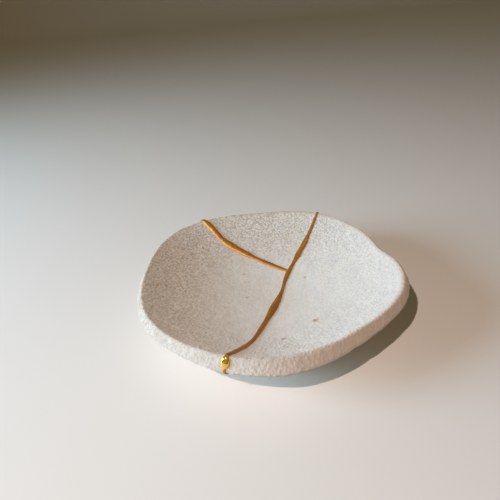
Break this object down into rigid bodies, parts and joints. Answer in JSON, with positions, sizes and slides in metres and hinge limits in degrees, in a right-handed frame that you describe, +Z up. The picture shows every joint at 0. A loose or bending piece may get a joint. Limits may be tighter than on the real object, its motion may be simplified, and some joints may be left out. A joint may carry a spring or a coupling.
{
  "type": "kintsugi bowl",
  "caption": "Shallow hand-formed stoneware dish with an uneven rim, broken in three and mended with raised gold lacquer seams.",
  "frame": {"origin": "on the standing surface, under the middle of the bowl's outline", "axes": "+Z up, out of the bowl's mouth; +X to the right along the longer width, with the mended drop on the rim on the -Y side"},
  "size_m": [0.1378, 0.1359, 0.0296],
  "materials": {
    "stoneware": "unglazed, fine-grained, matte off-white",
    "gilded_lacquer": "brushed gold powder on lacquer, satin, polished on the drop at the near lip"
  },
  "bodies": {
    "root": {"shard_right": "stoneware", "shard_back": "stoneware", "shard_left": "stoneware", "gold_seam": "gilded_lacquer"}
  },
  "joints": []
}
